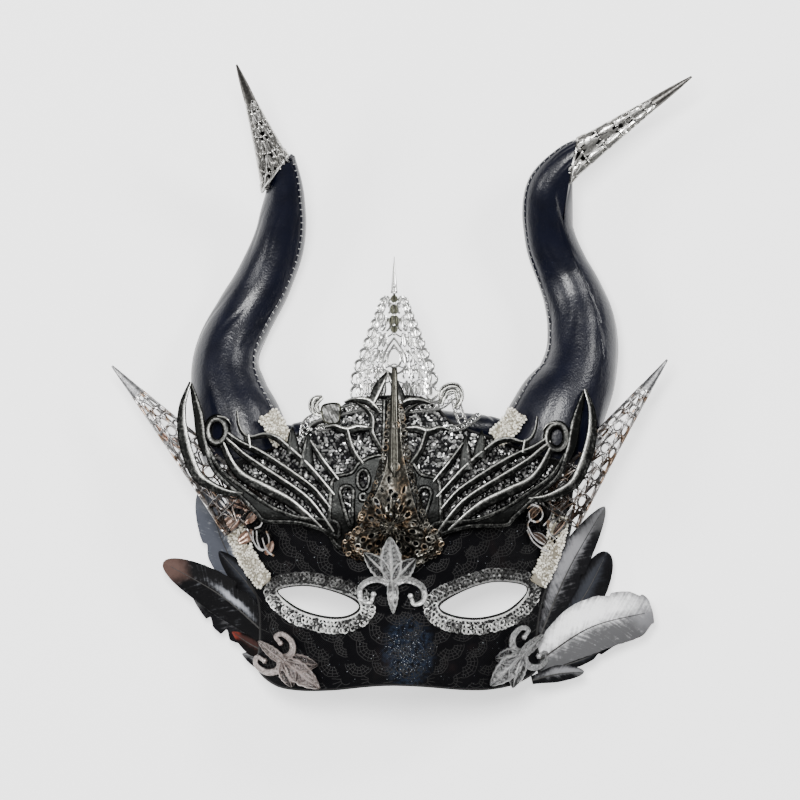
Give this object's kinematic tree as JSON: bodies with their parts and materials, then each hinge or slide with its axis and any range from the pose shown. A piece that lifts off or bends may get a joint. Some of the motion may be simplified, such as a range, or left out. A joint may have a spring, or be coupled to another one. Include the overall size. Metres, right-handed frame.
{
  "type": "devil masquerade mask",
  "caption": "Horned half-mask: black lace face with eye openings, openwork metal wings and spikes, beaded brow, braid trims and feathers at the sides.",
  "frame": {"origin": "on the floor under the middle of the mask as it lies on its back", "axes": "+X to the viewer's right, +Y from the chin edge to the horn tips, +Z out of the face"},
  "size_m": [0.2792, 0.2989, 0.0826],
  "materials": {
    "lace": "black lace and glitter over a stiff shell",
    "chips": "small silver chips and beads",
    "gunmetal": "dark gunmetal with worn bright edges",
    "leather": "grained navy faux leather, semi-gloss",
    "silver": "antique silver filigree",
    "bronze": "dark antique bronze",
    "silver_paint": "silver paint with glitter",
    "silver_braid": "metallic silver braid",
    "ivory_braid": "ivory and silver braid",
    "grey_feather": "dark grey feather, silvered",
    "black_feather": "black feather",
    "rose_feather": "black feather with a rose-brown tip",
    "silver_feather": "silver-painted feather"
  },
  "bodies": {
    "root": {"mask_shell": "lace", "brow_panel": "chips", "wing_crest": "gunmetal", "horn_left": "leather", "horn_right": "leather", "horn_band": "leather", "horn_tip_left": "silver", "horn_tip_right": "silver", "side_spike_left": "silver", "side_spike_right": "silver", "front_spike": "bronze", "rear_spike": "silver", "brow_fleur": "silver_paint", "cheek_fleur_left": "silver_paint", "cheek_fleur_right": "silver_paint", "eye_trim_left": "silver_braid", "eye_trim_right": "silver_braid", "temple_trim_left": "ivory_braid", "temple_trim_right": "ivory_braid", "horn_trim_left": "ivory_braid", "horn_trim_right": "ivory_braid", "feather_left_1": "grey_feather", "feather_left_2": "rose_feather", "feather_left_3": "grey_feather", "feather_left_4": "black_feather", "feather_left_5": "rose_feather", "feather_left_6": "grey_feather", "feather_right_1": "grey_feather", "feather_right_2": "black_feather", "feather_right_3": "black_feather", "feather_right_4": "silver_feather", "feather_right_5": "silver_feather", "feather_right_6": "grey_feather"}
  },
  "joints": []
}
